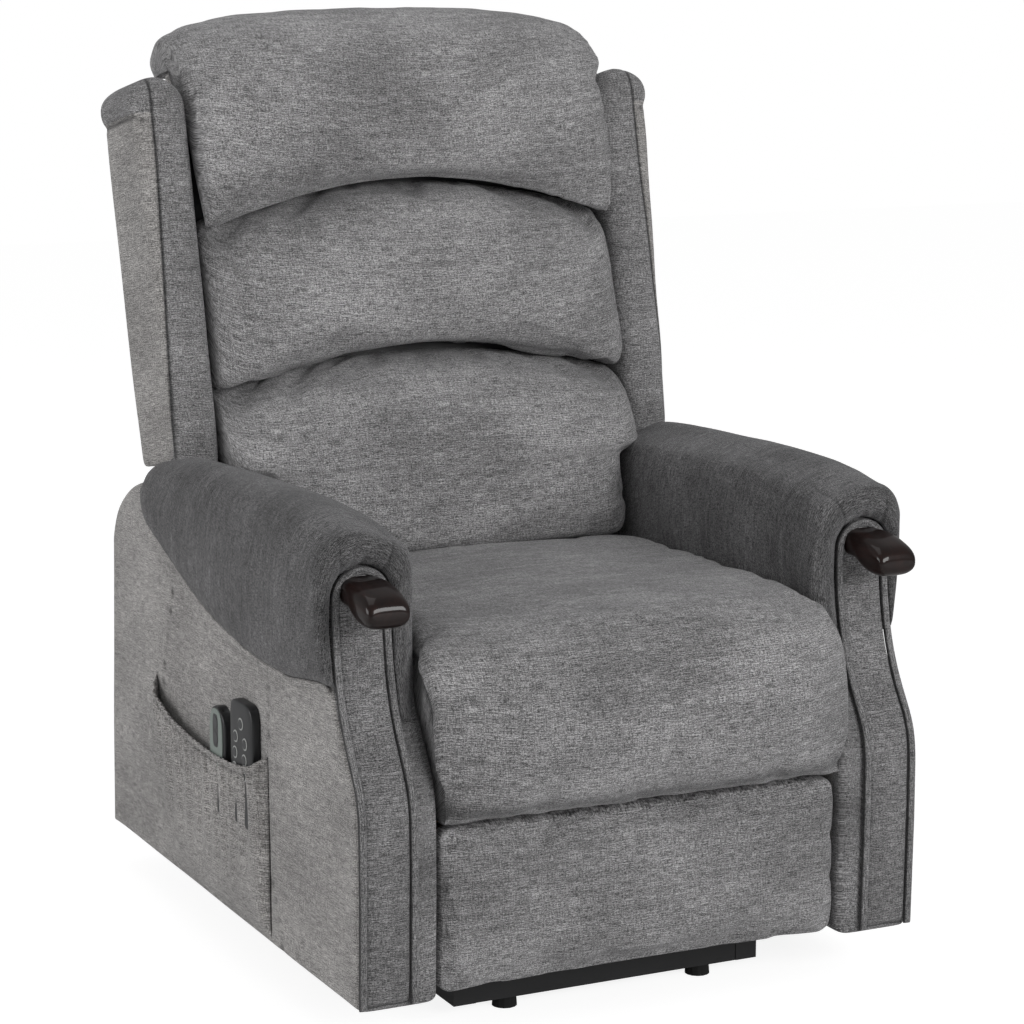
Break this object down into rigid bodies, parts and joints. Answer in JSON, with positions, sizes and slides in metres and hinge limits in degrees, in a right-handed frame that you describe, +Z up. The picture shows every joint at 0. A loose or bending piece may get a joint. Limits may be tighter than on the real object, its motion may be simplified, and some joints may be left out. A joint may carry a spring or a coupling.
{
  "type": "lift recliner chair",
  "caption": "Padded lift recliner armchair with a powered lifting base, reclining pillow back with wings, rising footrest, padded arms with hand knobs and a side pocket of handsets.",
  "frame": {"origin": "on the floor, at the middle of the bounding box's underside", "axes": "+Z up, the sitter faces -Y, X = 0 is the plane of symmetry and +X is the sitter's left"},
  "size_m": [0.76, 0.906, 1.1249],
  "materials": {
    "fabric": "woven chenille, heathered grey",
    "side_fabric": "woven chenille, heathered grey, flat panel",
    "foot_rubber": "moulded black",
    "knob_wood": "dark red mahogany stain, gloss lacquer",
    "deck_wood": "raw board",
    "motor_plastic": "textured black",
    "rod_steel": "ground",
    "key_plastic": "soft grey",
    "handset_plastic": "fine textured black",
    "frame_steel": "black powder coat"
  },
  "bodies": {
    "base": {"base_rail_left": "frame_steel", "base_rail_right": "frame_steel", "base_front_bar": "frame_steel", "base_rear_bar": "frame_steel", "foot_front_left": "foot_rubber", "foot_front_right": "foot_rubber", "foot_rear_left": "foot_rubber", "foot_rear_right": "foot_rubber", "lift_motor": "motor_plastic"},
    "lift_arms": {"lift_arms": "frame_steel"},
    "lift_upper": {"lift_upper_link_left": "frame_steel", "lift_upper_link_right": "frame_steel"},
    "lift_rod": {"lift_rod": "rod_steel"},
    "seat": {"seat_side_plate_left": "frame_steel", "seat_side_plate_right": "frame_steel", "seat_front_rail": "frame_steel", "seat_rear_rail": "frame_steel", "seat_deck": "deck_wood", "seat_cushion": "fabric", "side_panel_left": "side_fabric", "side_panel_right": "side_fabric", "arm_front_left": "fabric", "arm_front_right": "fabric", "arm_pad_left": "fabric", "arm_pad_right": "fabric", "hand_knob_left": "knob_wood", "hand_knob_right": "knob_wood", "side_pocket": "fabric", "recline_motor": "motor_plastic", "footrest_motor": "motor_plastic"},
    "back": {"back_frame": "frame_steel", "back_shell": "side_fabric", "wing_left": "fabric", "wing_right": "fabric", "lumbar_pillow": "fabric", "middle_pillow": "fabric", "head_pillow": "fabric"},
    "recline_rod": {"recline_rod": "rod_steel"},
    "footrest_drive": {"footrest_drive_links": "frame_steel"},
    "footrest_long": {"footrest_long_link_left": "frame_steel", "footrest_long_link_right": "frame_steel"},
    "footrest_upper": {"footrest_upper_link_left": "frame_steel", "footrest_upper_link_right": "frame_steel"},
    "footrest_stay": {"footrest_stay_link_left": "frame_steel", "footrest_stay_link_right": "frame_steel"},
    "footrest_panel": {"footrest_board": "frame_steel", "footrest_pad": "fabric"},
    "footrest_rod": {"footrest_rod": "rod_steel"},
    "lift_handset": {"lift_handset": "handset_plastic"},
    "massage_handset": {"massage_handset": "handset_plastic"},
    "lift_button_up": {"lift_button_up": "key_plastic"},
    "lift_button_down": {"lift_button_down": "key_plastic"},
    "massage_button_power": {"massage_button_power": "key_plastic"},
    "massage_button_mode": {"massage_button_mode": "key_plastic"},
    "massage_button_speed": {"massage_button_speed": "key_plastic"},
    "massage_button_zone_a": {"massage_button_zone_a": "key_plastic"},
    "massage_button_zone_b": {"massage_button_zone_b": "key_plastic"},
    "massage_button_heat": {"massage_button_heat": "key_plastic"},
    "massage_button_timer": {"massage_button_timer": "key_plastic"}
  },
  "joints": [
    {"name": "lift", "type": "hinge", "parent": "base", "child": "lift_arms", "pos_m": [0, -0.2577, 0.0756], "axis": [1, 0, 0], "range_deg": [0, 56.87]},
    {"name": "seat_tilt", "type": "hinge", "parent": "lift_arms", "child": "seat", "pos_m": [0, 0.1437, 0.1616], "axis": [1, 0, 0], "range_deg": [-33, 0]},
    {"name": "lift_upper_turn", "type": "hinge", "parent": "base", "child": "lift_upper", "pos_m": [0, -0.2088, 0.1105], "axis": [1, 0, 0], "range_deg": [0, 51.3]},
    {"name": "lift_rod_slide", "type": "slide", "parent": "base", "child": "lift_rod", "axis": [0, -1, 0], "range_m": [0, 0.1146]},
    {"name": "recline", "type": "hinge", "parent": "seat", "child": "back", "pos_m": [0, 0.226, 0.262], "axis": [-1, 0, 0], "range_deg": [0, 48]},
    {"name": "recline_rod_slide", "type": "slide", "parent": "seat", "child": "recline_rod", "axis": [0, -1, 0], "range_m": [0, 0.0735]},
    {"name": "footrest", "type": "hinge", "parent": "seat", "child": "footrest_drive", "pos_m": [0, -0.2707, 0.2348], "axis": [-1, 0, 0], "range_deg": [0, 96.8]},
    {"name": "footrest_long_turn", "type": "hinge", "parent": "footrest_drive", "child": "footrest_long", "pos_m": [0, -0.1692, 0.1447], "axis": [1, 0, 0], "range_deg": [0, 76.5]},
    {"name": "footrest_panel_turn", "type": "hinge", "parent": "footrest_long", "child": "footrest_panel", "pos_m": [0, -0.342, 0.2309], "axis": [-1, 0, 0], "range_deg": [0, 68.2]},
    {"name": "footrest_upper_turn", "type": "hinge", "parent": "footrest_drive", "child": "footrest_upper", "pos_m": [0, -0.1616, 0.1046], "axis": [1, 0, 0], "range_deg": [0, 75.9]},
    {"name": "footrest_stay_turn", "type": "hinge", "parent": "seat", "child": "footrest_stay", "pos_m": [0, -0.2759, 0.1943], "axis": [-1, 0, 0], "range_deg": [0, 91.8]},
    {"name": "footrest_rod_slide", "type": "slide", "parent": "seat", "child": "footrest_rod", "axis": [0, -1, 0], "range_m": [0, 0.0676]},
    {"name": "lift_handset_out", "type": "slide", "parent": "seat", "child": "lift_handset", "axis": [0, 0, 1], "range_m": [0, 0.066]},
    {"name": "massage_handset_out", "type": "slide", "parent": "seat", "child": "massage_handset", "axis": [0, 0, 1], "range_m": [0, 0.04]},
    {"name": "lift_button_up_press", "type": "slide", "parent": "lift_handset", "child": "lift_button_up", "axis": [1, 0, 0], "range_m": [0, 0.0012], "stiffness_N_per_m": 250},
    {"name": "lift_button_down_press", "type": "slide", "parent": "lift_handset", "child": "lift_button_down", "axis": [1, 0, 0], "range_m": [0, 0.0012], "stiffness_N_per_m": 250},
    {"name": "massage_button_power_press", "type": "slide", "parent": "massage_handset", "child": "massage_button_power", "axis": [1, 0, 0], "range_m": [0, 0.0012], "stiffness_N_per_m": 250},
    {"name": "massage_button_mode_press", "type": "slide", "parent": "massage_handset", "child": "massage_button_mode", "axis": [1, 0, 0], "range_m": [0, 0.0012], "stiffness_N_per_m": 250},
    {"name": "massage_button_speed_press", "type": "slide", "parent": "massage_handset", "child": "massage_button_speed", "axis": [1, 0, 0], "range_m": [0, 0.0012], "stiffness_N_per_m": 250},
    {"name": "massage_button_zone_a_press", "type": "slide", "parent": "massage_handset", "child": "massage_button_zone_a", "axis": [1, 0, 0], "range_m": [0, 0.0012], "stiffness_N_per_m": 250},
    {"name": "massage_button_zone_b_press", "type": "slide", "parent": "massage_handset", "child": "massage_button_zone_b", "axis": [1, 0, 0], "range_m": [0, 0.0012], "stiffness_N_per_m": 250},
    {"name": "massage_button_heat_press", "type": "slide", "parent": "massage_handset", "child": "massage_button_heat", "axis": [1, 0, 0], "range_m": [0, 0.0012], "stiffness_N_per_m": 250},
    {"name": "massage_button_timer_press", "type": "slide", "parent": "massage_handset", "child": "massage_button_timer", "axis": [1, 0, 0], "range_m": [0, 0.0012], "stiffness_N_per_m": 250}
  ],
  "couplings": [
    {"joint": "seat_tilt", "follows": "lift", "ratio": -0.57728},
    {"joint": "lift_upper_turn", "follows": "lift", "ratio": 0.8994},
    {"joint": "lift_rod_slide", "follows": "lift", "m_per_rad": 0.11515},
    {"joint": "recline_rod_slide", "follows": "recline", "m_per_rad": 0.087391},
    {"joint": "footrest_long_turn", "follows": "footrest", "ratio": 0.78822},
    {"joint": "footrest_panel_turn", "follows": "footrest", "ratio": 0.70248},
    {"joint": "footrest_upper_turn", "follows": "footrest", "ratio": 0.78237},
    {"joint": "footrest_stay_turn", "follows": "footrest", "ratio": 0.94584},
    {"joint": "footrest_rod_slide", "follows": "footrest", "m_per_rad": 0.039836}
  ]
}
